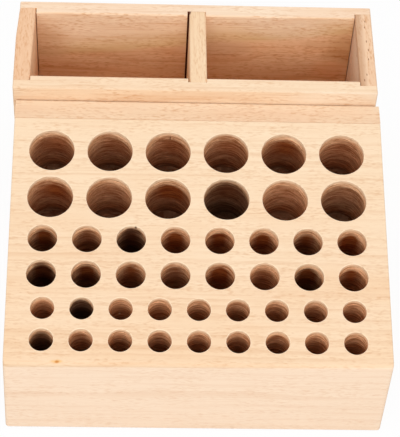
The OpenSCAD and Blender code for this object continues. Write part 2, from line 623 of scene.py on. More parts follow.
@dataclass(frozen=True)
class BoreFinish:
    """The wall of a drilled hole: pale at the mouth, browned below, with ring marks of the drill.

    The mesh carries how far down a point is in millimetres, a number for its hole, how browned the hole is,
    how much of it is scorched, how closely the brown keeps to the rear and how far it leans to the right.
    The brown is partly the wood's own browning and partly painted shade on the far wall; the rim's tone is a
    painted highlight and the floor's darkening is painted shade.
    """

    name: str
    # The rim's tone is a painted highlight along the rounded mouth
    rim: Colour
    mouth: Colour
    pale: Colour
    brown: Colour
    spots: tuple[Spot, ...] = ()

    CARRIED = ("down_mm", "hole", "brown", "burn", "narrow", "side")

    # What each mark does to the tone below it
    MARK_TINT = (0.62, 0.45, 0.34, 1.0)
    FIBRE_TINT = (0.72, 0.6, 0.52, 1.0)
    LIGHT_TINT = (1.58, 1.64, 1.7, 1.0)
    # Tint of the scorch, and of the painted shade on the hole's floor
    SCORCH_AND_SHADE_TINT = (0.22, 0.19, 0.19, 1.0)

    # Lumps of each noise per millimetre, and how strong its finer lumps are
    SWAY_LUMPS = (0.12, 0.3, 0.3)
    BROAD_LUMPS = (0.35, 0.5, 1.0)
    BROAD_ROUGH = 0.6
    FINE_LUMPS = (1.5, 1.0, 1.0)
    FINE_ROUGH = 0.75
    FIBRE_LUMPS = (0.22, 1.1, 1.1)
    FIBRE_ROUGH = 0.65

    # The ring marks: how far they wander, change across a hole and differ from hole to hole
    SWAY_MM = 2.6
    CROSS_CHANGE = 0.11
    HOLE_CHANGE = 3.7

    # Depths at which a change starts and ends, in millimetres, and how far its edge frays
    # Depths over which the painted highlight on the rim fades into the mouth's tone
    RIM_HIGHLIGHT_MM = (0.2, 0.5)
    PALE_MM = (1.0, 4.0)
    PALE_FRAY_MM = 0.8
    BROWN_MM = (2.4, 7.8)
    BROAD_FRAY_MM = 6.0
    FIBRE_FRAY_MM = 2.0
    # The brown starts deeper on the side walls, so that it paints shade on the far wall
    SIDE_LAG_MM = 2.5
    FADE_MM = (15.0, 22.0)
    MARKS_MM = (0.8, 3.0)
    # Depths of the painted shade on the hole's floor
    FLOOR_SHADE_MM = (26.0, 30.0)
    SCORCH_MM = (2.6, 6.4)
    SCORCH_RISE_MM = 2.0

    # Where a mark starts to show and where it shows in full, and its strength
    BROAD_SPAN = (0.47, 0.63)
    BROAD_SHARE = 0.55
    FINE_SPAN = (0.49, 0.58)
    FINE_SHARE = 0.9
    LIGHT_SPAN = (0.44, 0.32)
    FIBRE_SPAN = (0.47, 0.66)
    FIBRE_SHARE = 0.6
    FLOOR_SHADE_SHARE = 0.75
    FADE_LOSS = 0.35
    # How much of the brown and the scorch stays on the side walls; the rest gathers on the far wall as
    # painted shade
    SIDE_BROWN = 0.3
    SIDE_SCORCH = 0.75
    EVEN_SCORCH = 0.7
    BROAD_SCORCH = 0.6

    # The surface
    DULL = 0.62
    FINE_DULL = 0.2
    FINE_RELIEF = 0.6
    FIBRE_RELIEF = 0.4
    RELIEF_MM = 0.12

    def make(self) -> bpy.types.Material:
        """Build the material.

        Returns:
            The material.
        """
        shade = Shade(self.name)
        down, hole, brown, burn, narrow, side = (shade.attribute(name) for name in self.CARRIED)
        wood = shade.rack_mm()
        x, _, _ = shade.split(wood)
        sway = shade.noise(wood, self.SWAY_LUMPS, 2.0) - 0.5
        turns = shade.join(down + sway * self.SWAY_MM, x * self.CROSS_CHANGE, hole * self.HOLE_CHANGE)
        broad = shade.noise(turns, self.BROAD_LUMPS, 2.0, self.BROAD_ROUGH)
        fine = shade.noise(turns, self.FINE_LUMPS, 3.0, self.FINE_ROUGH)
        fibre = shade.noise(wood, self.FIBRE_LUMPS, 3.0, self.FIBRE_ROUGH)
        # How far a face looks at the front of the hole, leaning to one side: the brown and the scorch gather
        # there as painted shade on the far wall
        rear = ((shade.looks(shade.join(-side, -1.0, 0.0)) - narrow) / (1.0 - narrow)).clamped()
        ragged = down + (broad - 0.5) * self.BROAD_FRAY_MM + (fibre - 0.5) * self.FIBRE_FRAY_MM
        ragged = ragged - (1.0 - rear) * self.SIDE_LAG_MM

        # Painted highlight on the rim, fading into the mouth's own tone
        tone = shade.mix(shade.step(down, *self.RIM_HIGHLIGHT_MM), self.rim, self.mouth)
        tone = shade.mix(shade.step(down + broad * self.PALE_FRAY_MM, *self.PALE_MM), tone, self.pale)
        # The brown: partly the wood's own browning by the drill, partly painted shade on the far wall
        browned_and_shaded = shade.step(ragged, *self.BROWN_MM) * (1.0 - self.FADE_LOSS * shade.step(down, *self.FADE_MM))
        browned_and_shaded = browned_and_shaded * (self.SIDE_BROWN + (1.0 - self.SIDE_BROWN) * rear)
        tone = shade.mix(browned_and_shaded * brown, tone, self.brown)
        below = shade.step(down, *self.MARKS_MM)
        # The scorch is the wood's own burning, weighted towards the far wall as painted shade
        scorched = burn * (self.EVEN_SCORCH + self.BROAD_SCORCH * broad)
        scorched = scorched * (self.SIDE_SCORCH + (1.0 - self.SIDE_SCORCH) * rear)
        scorched = scorched * shade.step(ragged + burn * self.SCORCH_RISE_MM, *self.SCORCH_MM)
        marks = ((shade.step(broad, *self.BROAD_SPAN) * below * self.BROAD_SHARE, self.MARK_TINT),
                 (shade.step(fine, *self.FINE_SPAN) * below * self.FINE_SHARE, self.MARK_TINT),
                 (shade.step(fine, *self.LIGHT_SPAN) * below, self.LIGHT_TINT),
                 (shade.step(fibre, *self.FIBRE_SPAN) * self.FIBRE_SHARE, self.FIBRE_TINT),
                 # Painted shade on the hole's floor, which faces up and would catch more light
                 (shade.step(down, *self.FLOOR_SHADE_MM) * self.FLOOR_SHADE_SHARE, self.SCORCH_AND_SHADE_TINT),
                 (scorched.clamped(), self.SCORCH_AND_SHADE_TINT))
        for share, tint in marks:
            tone = shade.mix(share, tone, tint, "MULTIPLY")
        tone = shade.spotted(tone, wood, self.spots, fibre)
        dull = self.DULL + fine * self.FINE_DULL
        relief = fine * self.FINE_RELIEF + fibre * self.FIBRE_RELIEF
        return shade.finish(tone, dull, relief, self.RELIEF_MM)


def light_and_shade_on_back(x: float, z: float, wide: float, tall: float, tone: Colour, share: float,
            way: tuple[float, float, float] | None = None) -> Spot:
    """A broad patch of painted light or shade at the back wall's inner face, by its place and reach in
    millimetres.
    """
    return Spot((x, BACK_INSIDE_MM, z), (wide, PAINTED_PATCH_DEEP_MM, tall), tone, share, way)


class Finishes:
    """The woods of the rack, and the wall of the holes."""

    BLOCK = BeechFinish(
        "sloped_block_beech", Grain.ALONG_X, tilt_deg=-34.0, offset_mm=(13.0, 31.0, 7.0),
        pale=srgb(246, 218, 186), deep=srgb(243, 209, 173),
        dash_share=0.6, fibre_share=0.55, line_share=0.6,
        face=FaceTone(TO_FRONT, lower=srgb(253, 226, 199), height_mm=48.4, rise=0.0135, soft_mm=0.4,
                      gain=-0.2),
        # A paler patch over the rear of the slope: painted light against the shade of the box behind it and
        # the farther lamp
        patches=(Spot((0.0, 26.0, 70.0), (400.0, 75.0, 75.0), srgb(249, 223, 191), 0.7),),
        spots=(Spot((-57.6, -87.05, 50.0), (3.2, 1.2, 1.2), srgb(240, 188, 120), 0.8),
               Spot((-57.4, -87.15, 50.0), (1.2, 0.9, 0.9), srgb(205, 132, 64))))
    STRIP = BeechFinish(
        "ledge_strip_beech", Grain.ALONG_X, tilt_deg=62.0, offset_mm=(-40.0, 11.0, 55.0),
        pale=srgb(245, 214, 181), deep=srgb(242, 205, 171),
        ring_mm=2.6, dash_share=0.85, line_share=0.35,
        patches=(Spot((0.0, 36.2, 70.1), (300.0, 6.4, 6.4), srgb(247, 221, 191), 1.0),))
    FRONT = BeechFinish(
        "front_wall_beech", Grain.ALONG_X, tilt_deg=20.0, offset_mm=(71.0, -23.0, 19.0),
        pale=srgb(253, 226, 194), deep=srgb(250, 217, 182),
        ring_mm=3.1, dash_share=0.62, fibre_share=0.5, line_share=0.5, fleck_share=0.3,
        face=FaceTone(TO_FRONT, lower=srgb(243, 213, 180), gain=0.5),
        patches=(Spot((66.0, 36.3, 74.0), (42.0, 4.0, 8.0), srgb(246, 223, 196), 0.9, TO_FRONT),))
    BACK = BeechFinish(
        "back_wall_beech", Grain.ALONG_X, tilt_deg=24.0, offset_mm=(-17.0, 63.0, 41.0),
        pale=srgb(253, 227, 199), deep=srgb(251, 219, 189),
        ring_mm=2.9, dash_share=0.68, fibre_share=0.75, line_share=0.65, fleck_share=0.2,
        # Painted shade and painted light on the back wall's inner face: darker where the end walls and the
        # divider shade the bays, paler where more light falls
        patches=(light_and_shade_on_back(-68.0, 60.0, 17.0, 18.0, srgb(226, 184, 145), 0.9),
                 light_and_shade_on_back(-14.0, 54.0, 20.0, 4.5, srgb(230, 178, 136), 0.7),
                 light_and_shade_on_back(-34.0, 39.0, 36.0, 10.0, srgb(252, 203, 161), 0.9),
                 light_and_shade_on_back(12.0, 57.0, 24.0, 9.0, srgb(222, 176, 138), 0.9),
                 light_and_shade_on_back(42.0, 71.0, 27.0, 10.0, srgb(255, 226, 197), 0.5, TO_FRONT),
                 light_and_shade_on_back(69.0, 57.0, 14.0, 15.0, srgb(212, 162, 115), 0.9),
                 light_and_shade_on_back(56.0, 60.0, 10.0, 5.0, srgb(224, 176, 134), 0.7),
                 light_and_shade_on_back(63.0, 44.0, 11.0, 8.0, srgb(238, 180, 134), 0.8)),
        # Painted shade in the gap between the divider and its groove in the back wall
        spots=(Spot((-3.5, 83.6, 50.0), (1.8, 2.4, 200.0), srgb(94, 14, 0), 0.95, TO_FRONT),
               Spot((-72.2, 84.0, 50.0), (1.0, 2.4, 200.0), srgb(250, 186, 108), 0.9, TO_FRONT)),
        # Below the slanting line the redder heartwood, kept light as painted bounce light low in the bays;
        # just above it a darker brink, painted shade where less light reaches down the wall
        face=FaceTone(TO_FRONT, lower=srgb(240, 193, 152), height_mm=58.8, rise=0.125, soft_mm=2.2,
                      upper=srgb(250, 216, 182), shade_brink=srgb(228, 188, 139), fade_mm=15.0, wavy_mm=6.0,
                      gain=0.7))
    LEFT = BeechFinish(
        "left_wall_beech", Grain.ALONG_Y, tilt_deg=75.0, offset_mm=(17.0, 9.0, 93.0),
        pale=srgb(248, 209, 173), deep=srgb(243, 199, 161),
        ring_mm=3.4, dash_share=0.8, fleck_share=0.8)
    RIGHT = BeechFinish(
        "right_wall_beech", Grain.ALONG_Y, tilt_deg=70.0, offset_mm=(49.0, -36.0, 20.0),
        pale=srgb(249, 214, 180), deep=srgb(243, 203, 168),
        ring_mm=3.0, fleck_share=0.9, face=FaceTone(TO_LEFT, lower=srgb(236, 206, 180)),
        patches=(Spot((71.8, 60.0, 78.0), (4.4, 400.0, 6.0), srgb(216, 173, 138), 1.0),),
        spots=tuple(Spot((x, y, 78.0), (0.34, 1.0, 1.0), srgb(150, 96, 66))
                    for x, y in ((76.4, 79.5), (76.0, 75.9), (76.3, 67.2), (76.9, 62.0), (76.5, 56.4),
                                 (75.2, 47.3), (74.0, 44.0))))
    INNER = BeechFinish(
        "divider_beech", Grain.ALONG_Y, tilt_deg=15.0, offset_mm=(-29.0, 47.0, 3.0),
        pale=srgb(249, 217, 180), deep=srgb(245, 208, 168),
        ring_mm=3.2, dash_share=0.65, fleck_share=0.3,
        # Painted shade in the gap at the divider's rear end
        spots=(Spot((-3.1, 83.6, 50.0), (1.0, 2.6, 200.0), srgb(84, 20, 2)),))
    BORE = BoreFinish(
        # rim is a painted highlight; brown is partly the wood's browning and partly painted shade
        "drilled_wall_beech", rim=srgb(255, 229, 197), mouth=srgb(254, 222, 186), pale=srgb(251, 206, 162),
        brown=srgb(150, 82, 40),
        spots=(Spot((-11.5, 20.35, 64.4), (0.3, 2.2, 2.2), srgb(70, 34, 18)),
               Spot((-10.7, 20.25, 64.2), (0.25, 1.8, 1.8), srgb(235, 190, 150)),
               Spot((-26.0, -25.85, 60.0), (0.8, 1.2, 1.5), srgb(62, 34, 20)),
               Spot((-32.3, -55.85, 39.5), (0.7, 0.8, 1.0), srgb(250, 232, 210))))


def to_piece(name: str, mesh: bpy.types.Mesh) -> bpy.types.Object:
    """Put a finished mesh in the scene as an object at the origin.

    Args:
        name: the piece's name.
        mesh: its mesh, in the rack's own frame.

    Returns:
        The object.
    """
    piece = bpy.data.objects.new(name, mesh)
    bpy.context.scene.collection.objects.link(piece)
    return piece


def baked(piece: bpy.types.Object) -> bpy.types.Object:
    """Replace a piece's mesh by what its modifiers make of it, and drop them.

    Args:
        piece: the object.

    Returns:
        The same object.
    """
    bpy.context.view_layer.update()
    depsgraph = bpy.context.evaluated_depsgraph_get()
    mesh = bpy.data.meshes.new_from_object(piece.evaluated_get(depsgraph), preserve_all_data_layers=True,
                                           depsgraph=depsgraph)
    mesh.name = piece.name
    piece.modifiers.clear()
    piece.data = mesh
    return piece


def smoothed(piece: bpy.types.Object) -> bpy.types.Object:
    """Smooth shading in which the large flat faces set the normals.

    Args:
        piece: the object.

    Returns:
        The same object.
    """
    for face in piece.data.polygons:
        face.use_smooth = True
    weigh = piece.modifiers.new("weigh", "WEIGHTED_NORMAL")
    weigh.mode = "FACE_AREA"
    weigh.weight = FLAT_FACE_WEIGHT
    weigh.keep_sharp = True
    return baked(piece)


def dressed(piece: bpy.types.Object, node: str, slot: str) -> bpy.types.Object:
    """Ride on the rack's one body and stand for a solid.

    Args:
        piece: the object.
        node: the solid that it stands for.
        slot: the record's material slot, which is not used.

    Returns:
        The same object.
    """
    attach(piece, BODY)
    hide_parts(node)
    LOG.info("%s: %d faces, stands for %s", piece.name, len(piece.data.polygons), node)
    return piece


@dataclass(frozen=True)
class Slope:
    """The holed face of the block, from the box of its solid and the way that its bores look."""

    low: Vector
    high: Vector
    axis: Vector

    @classmethod
    def of(cls, node: str) -> "Slope":
        """Read the slope of one solid from the frame."""
        bore = next(m for m in frame["record"]["mounts"] if m["kind"] == "bore")
        return cls(*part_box(node), Vector(bore["axis"]).normalized())

    @property
    def tilt(self) -> float:
        """Angle of the face above the level, in radians."""
        return math.atan2(-self.axis.y, self.axis.z)

    @property
    def depth(self) -> float:
        """Length of the block from front to rear."""
        return self.high.y - self.low.y

    @property
    def front_h(self) -> float:
        """Height of the face's line above the front."""
        return self.high.z - self.depth * math.tan(self.tilt)

    def above(self, place: Vector) -> float:
        """Distance from a place inside the block up to the face."""
        return (Vector((0.0, self.low.y, self.front_h)) - place).dot(self.axis)


@dataclass
class DrilledRows:
    """The two rows of holes of one size, made by geometry nodes from one shell.

    Attributes:
        size: which of the three sizes.
        slope: the face that they are drilled into.
        segments: sides of the round shell.
        brown: how browned the holes are, partly the wood's own browning and partly painted shade.
        narrow: how closely that keeps to the rear of a hole, where it paints shade on the far wall.
        side: how far it leans to the right of a hole.
        burnt: how scorched some holes are, by mount name.
        rim_mm: rounding of the mouth.
        point_deg: full angle of the drill's point.
        mark_mm: height of the drill's ring marks.
        seed: start of the random numbers.
    """

    size: HoleSize
    slope: Slope
    segments: int
    brown: float
    narrow: float
    side: float
    burnt: dict[str, float]
    rim_mm: float = 0.3
    point_deg: float = 150.0
    mark_mm: float = 0.07
    seed: int = 5
    bores: list[dict[str, Any]] = field(default_factory=list)

    RIM_STEPS = 4
    WALL_STEPS = 15
    POINT_STEPS = 3
    HOLE_NUMBERS = 90.0
    RING_LUMPS = (0.45, 1.0, 1.0)
    RING_START_MM = (0.8, 2.4)
    FAINT_SCORCH = 0.15
    BROWN_SPREAD = (0.75, 1.25)

    def __post_init__(self) -> None:
        """Find the size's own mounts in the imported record."""
        self.bores = [m for m in frame["record"]["mounts"]
                      if m["kind"] == "bore" and m["name"].startswith(self.size.value)]
        self.radius = self.bores[0]["dims"]["r_mm"] * MM
        self.depths = [self.slope.above(Vector(m["pos_m"])) + m["dims"]["length_mm"] * MM / 2
                       for m in self.bores]
        self.depth = sum(self.depths) / len(self.depths)

    def mouths(self) -> list[Vector]:
        """Middle of each hole's mouth, on the slope."""
        places = [Vector(m["pos_m"]) for m in self.bores]
        return [place + self.slope.axis * self.slope.above(place) for place in places]

    @property
    def reach(self) -> float:
        """Radius of the mouth's outer rim, where the shell meets the slope."""
        return self.radius + self.rim_mm * MM

    def mouth_loop(self, middle: Vector) -> list[Vector]:
        """Points of a mouth's outer rim.

        Args:
            middle: the mouth's middle.

        Returns:
            The points, in order.
        """
        lean = Matrix.Rotation(self.slope.tilt, 3, "X")
        turns = [2 * math.pi * i / self.segments for i in range(self.segments)]
        return [middle + lean @ Vector((math.cos(t), math.sin(t), 0.0)) * self.reach for t in turns]

    def tree(self) -> tuple[bpy.types.NodeTree, dict[str, str]]:
        """Build the tree that sets one drilled shell at each mouth.

        Returns:
            The tree, and the identifier of each named input.
        """
        tree = bpy.data.node_groups.new("drilled_rows", "GeometryNodeTree")
        made = Graph(tree)
        kinds = {"Mouths": "Geometry", "Radius": "Float", "Depth": "Float", "Rim": "Float", "Point": "Float",
                 "Segments": "Int", "Tilt": "Float", "Marks": "Float", "Seed": "Int", "Wall": "Material"}
        names = {}
        for name, kind in kinds.items():
            socket = tree.interface.new_socket(name=name, in_out="INPUT", socket_type="NodeSocket" + kind)
            names[name] = socket.identifier
        tree.interface.new_socket(name="Shells", in_out="OUTPUT", socket_type="NodeSocketGeometry")
        inputs = made.node("NodeGroupInput")
        given = {name: inputs.beside(name) for name in kinds}

        rows = self.RIM_STEPS + self.WALL_STEPS + self.POINT_STEPS
        sheet = made.node("GeometryNodeMeshGrid", None,
                          {"Size X": 1.0, "Size Y": 1.0, "Vertices X": given["Segments"] + 1,
                           "Vertices Y": rows + 1})
        x, y, _ = made.split(made.node("GeometryNodeInputPosition"))
        angle = (x + 0.5) * (2 * math.pi)
        row = (y + 0.5) * rows
        rim = (row / self.RIM_STEPS).clamped() * (math.pi / 2)
        wall = ((row - self.RIM_STEPS) / self.WALL_STEPS).clamped()
        point = ((row - self.RIM_STEPS - self.WALL_STEPS) / self.POINT_STEPS).clamped()
        flare = 1.0 - made.math("SINE", rim)
        drop = 1.0 - made.math("COSINE", rim)
        reach = given["Radius"] + given["Rim"] * flare - given["Radius"] * point
        down = given["Rim"] * drop + (given["Depth"] - given["Rim"]) * wall + given["Point"] * point
        spot = made.join(reach * made.math("COSINE", angle), reach * made.math("SINE", angle), -down)
        shell = made.node("GeometryNodeSetPosition", None, {"Geometry": sheet, "Position": spot})
        shell = made.node("GeometryNodeMergeByDistance", None, {"Geometry": shell, "Distance": WELD_M / 4})
        _, _, low = made.split(made.node("GeometryNodeInputPosition"))
        shell = made.node("GeometryNodeStoreNamedAttribute", {"data_type": "FLOAT", "domain": "POINT"},
                          {"Geometry": shell, "Name": "down_mm", "Value": low * (-1 / MM)})
        stretch = made.node("GeometryNodeInputNamedAttribute", {"data_type": "FLOAT"}, {"Name": "stretch"})
        placed = made.node("GeometryNodeInstanceOnPoints", None,
                           {"Points": given["Mouths"], "Instance": shell,
                            "Rotation": made.join(given["Tilt"], 0.0, 0.0),
                            "Scale": made.join(1.0, 1.0, stretch)})
        index = made.node("GeometryNodeInputIndex")
        draw = made.node("FunctionNodeRandomValue", {"data_type": "FLOAT"},
                         {"Min": 0.0, "Max": self.HOLE_NUMBERS, "ID": index, "Seed": given["Seed"]}, "Value")
        placed = made.node("GeometryNodeStoreNamedAttribute", {"data_type": "FLOAT", "domain": "INSTANCE"},
                           {"Geometry": placed, "Name": "hole", "Value": draw})
        shells = made.node("GeometryNodeRealizeInstances", None, {"Geometry": placed})
        deep = made.node("GeometryNodeInputNamedAttribute", {"data_type": "FLOAT"}, {"Name": "down_mm"})
        hole = made.node("GeometryNodeInputNamedAttribute", {"data_type": "FLOAT"}, {"Name": "hole"})
        rings = made.noise(made.join(deep, hole, 0.0), self.RING_LUMPS, 2.0)
        rise = (rings - 0.5) * 2.0 * given["Marks"] * made.step(deep, *self.RING_START_MM)
        away = made.node("ShaderNodeVectorMath", {"operation": "SCALE"},
                         {0: made.node("GeometryNodeInputNormal"), "Scale": rise})
        shells = made.node("GeometryNodeSetPosition", None, {"Geometry": shells, "Offset": away})
        shells = made.node("GeometryNodeSetShadeSmooth", None, {"Geometry": shells, "Shade Smooth": True})
        shells = made.node("GeometryNodeSetMaterial", None, {"Geometry": shells, "Material": given["Wall"]})
        made.node("NodeGroupOutput", None, {"Shells": shells})
        return tree, names

    def build(self, wall: bpy.types.Material) -> bpy.types.Object:
        """Make the shells of all the holes of this size.

        Args:
            wall: material of the drilled wall.

        Returns:
            One object with all the shells.
        """
        mesh = bpy.data.meshes.new(self.size.value + "_mouths")
        mesh.from_pydata(self.mouths(), [], [])
        chance = random.Random(self.seed)
        looks = [{"burn": self.burnt.get(bore["name"], chance.uniform(0.0, self.FAINT_SCORCH)),
                  "brown": self.brown * chance.uniform(*self.BROWN_SPREAD), "narrow": self.narrow,
                  "side": self.side, "stretch": depth / self.depth}
                 for bore, depth in zip(self.bores, self.depths)]
        for name in looks[0]:
            held = mesh.attributes.new(name, "FLOAT", "POINT")
            held.data.foreach_set("value", [look[name] for look in looks])
        shells = to_piece(self.size.value + "_shells", mesh)
        tree, names = self.tree()
        drill = shells.modifiers.new("drilled_rows", "NODES")
        drill.node_group = tree
        point = self.radius / math.tan(math.radians(self.point_deg) / 2)
        values = {"Radius": self.radius, "Depth": self.depth, "Rim": self.rim_mm * MM, "Point": point,
                  "Segments": self.segments, "Tilt": self.slope.tilt, "Marks": self.mark_mm * MM,
                  "Seed": self.seed, "Wall": wall}
        for name, value in values.items():
            drill[names[name]] = value
        return baked(shells)


@dataclass
class HoleBlock:
    """The sloped block: a lofted body with rounded edges, holed by the drilled shells.

    Attributes:
        node: the solid that it stands for.
        slope: its holed face.
        rows: its holes, by size.
        nose_mm: rounding of the front top edge.
        corner_mm: rounding of the front upright edges.
        side_mm: rounding of the edges along both sides.
        foot_mm: rounding of the front bottom edge.
        joint_mm: rounding of the rear top edge, at the joint with the strip.
        flare_mm: how far the foot of the front left corner stands out.
    """

    node: str
    slope: Slope
    rows: tuple[DrilledRows, ...]
    nose_mm: float = 2.0
    corner_mm: float = 1.5
    side_mm: float = 0.5
    foot_mm: float = 0.6
    joint_mm: float = 0.25
    flare_mm: float = 1.0

    CORNER_STEPS = 6
    NOSE_STEPS = 8
    SMALL_STEPS = 3
    FILL_INSIDE = 1
    FILL_WELD_M = 1e-7

    @staticmethod
    def arc(middle: Vector, radius: float, start: float, stop: float, steps: int) -> list[Vector]:
        """Points on an arc in a flat drawing, angles in degrees."""
        turns = [math.radians(start + (stop - start) * i / steps) for i in range(steps + 1)]
        return [middle + radius * Vector((math.cos(t), math.sin(t))) for t in turns]

    def outline(self, recess: float, drop: float) -> list[Vector]:
        """Side view of the block at one place of its width.

        Args:
            recess: how far the front face stands back there.
            drop: how far the top and the bottom draw in there.

        Returns:
            Points from the rear foot round the front to the rear top edge.
        """
        tilt, depth, nose = self.slope.tilt, self.slope.depth, self.nose_mm * MM
        foot, joint = self.foot_mm * MM, self.joint_mm * MM
        lean = math.degrees(tilt)

        def height(y: float) -> float:
            """Height of the slope's line at a distance from the front."""
            return self.slope.front_h + y * math.tan(tilt) - drop / math.cos(tilt)

        points = [Vector((depth, drop))]
        points += self.arc(Vector((recess + foot, drop + foot)), foot, 270, 180, self.SMALL_STEPS)
        middle = Vector((recess + nose, height(recess + nose) - nose / math.cos(tilt)))
        points += self.arc(middle, nose, 180, 90 + lean, self.NOSE_STEPS)
        middle = Vector((depth - joint, height(depth - joint) - joint / math.cos(tilt)))
        points += self.arc(middle, joint, 90 + lean, 0, self.SMALL_STEPS)
        return points

    def sections(self) -> list[tuple[float, list[Vector]]]:
        """Outlines along the width, from the left side to the right one.

        Returns:
            The place across the width and the outline there, for each section.
        """
        corner, side = self.corner_mm * MM, self.side_mm * MM
        near = []
        for i in range(self.CORNER_STEPS + 1):
            turn = math.pi / 2 * i / self.CORNER_STEPS
            across, recess = corner * (1 - math.cos(turn)), corner * (1 - math.sin(turn))
            left = max(side - across, 0.0)
            near.append((across, self.outline(recess, side - math.sqrt(side * side - left * left))))
        return ([(self.slope.low.x + across, shape) for across, shape in near]
                + [(self.slope.high.x - across, shape) for across, shape in reversed(near)])

    def body(self) -> bpy.types.Mesh:
        """Loft the outlines, and fill the slope around the mouths of the holes.

        Returns:
            The body's mesh, open at every mouth.
        """
        made = bmesh.new()
        loops = [[made.verts.new((x, self.slope.low.y + p.x, p.y)) for p in shape]
                 for x, shape in self.sections()]
        count = len(loops[0])
        top = count - self.SMALL_STEPS - 2
        middle = len(loops) // 2 - 1
        for number, (left, right) in enumerate(zip(loops, loops[1:])):
            for i in range(count):
                j = (i + 1) % count
                if (number, i) != (middle, top):
                    made.faces.new((left[i], left[j], right[j], right[i]))
        made.faces.new(loops[0])
        made.faces.new(reversed(loops[-1]))
        for vert in (v for loop in loops[:middle + 1] for v in loop):
            rise = vert.co.z / self.slope.front_h
            back = (vert.co.y - self.slope.low.y) / self.slope.depth
            vert.co.x -= self.flare_mm * MM * max(1.0 - rise, 0.0) * (1.0 - back)
        left, right = loops[middle], loops[middle + 1]
        self.fill_slope(made, [left[top], right[top], right[top + 1], left[top + 1]])
        mesh = bpy.data.meshes.new("block_body")
        made.to_mesh(mesh)
        made.free()
        return mesh

    def fill_slope(self, made: bmesh.types.BMesh, corners: list[bmesh.types.BMVert]) -> None:
        """Triangles over the slope, between its four corners and the mouths.

        Args:
            made: the body so far.
            corners: the slope's corners in it.
        """
        start, right = corners[0].co.copy(), Vector((1.0, 0.0, 0.0))
        back = self.slope.axis.cross(right)
        verts, edges = list(corners), [(i, (i + 1) % 4) for i in range(4)]
        discs = []
        for rows in self.rows:
            for spot in rows.mouths():
                first = len(verts)
                loop = rows.mouth_loop(spot)
                verts += [made.verts.new(p) for p in loop]
                edges += [(first + i, first + (i + 1) % len(loop)) for i in range(len(loop))]
                discs.append((spot, rows.reach * math.cos(math.pi / rows.segments)))
        flat = [Vector(((v.co - start).dot(right), (v.co - start).dot(back))) for v in verts]
        mouths = [(Vector(((s - start).dot(right), (s - start).dot(back))), r) for s, r in discs]
        spots, _, faces, origin, _, _ = delaunay_2d_cdt(flat, edges, [], self.FILL_INSIDE, self.FILL_WELD_M)
        held = [verts[o[0]] for o in origin]
        for face in faces:
            centre = sum((spots[i] for i in face), Vector((0.0, 0.0))) / len(face)
            if all((centre - m).length > r for m, r in mouths):
                made.faces.new([held[i] for i in face])

    def build(self, wood: bpy.types.Material, wall: bpy.types.Material) -> bpy.types.Object:
        """Join the body and the drilled shells into one closed mesh.

        Args:
            wood: material of the faces.
            wall: material of the drilled walls.

        Returns:
            The piece.
        """
        body = to_piece("hole_block_wood", self.body())
        body.data.materials.append(wood)
        shells = [rows.build(wall) for rows in self.rows]
        both = [body, *shells]
        with bpy.context.temp_override(active_object=body, object=body, selected_editable_objects=both,
                                       selected_objects=both):
            bpy.ops.object.join()
        made = bmesh.new()
        made.from_mesh(body.data)
        bmesh.ops.remove_doubles(made, verts=made.verts, dist=WELD_M)
        bmesh.ops.recalc_face_normals(made, faces=made.faces)
        loose = sum(not e.is_manifold for e in made.edges)
        made.to_mesh(body.data)
        made.free()
        LOG.info("%s: %d open edges", body.name, loose)
        return smoothed(body)

    def dress(self, piece: bpy.types.Object) -> bpy.types.Object:
        """Tie the piece to its body and solid."""
        return dressed(piece, self.node, "beech_block")


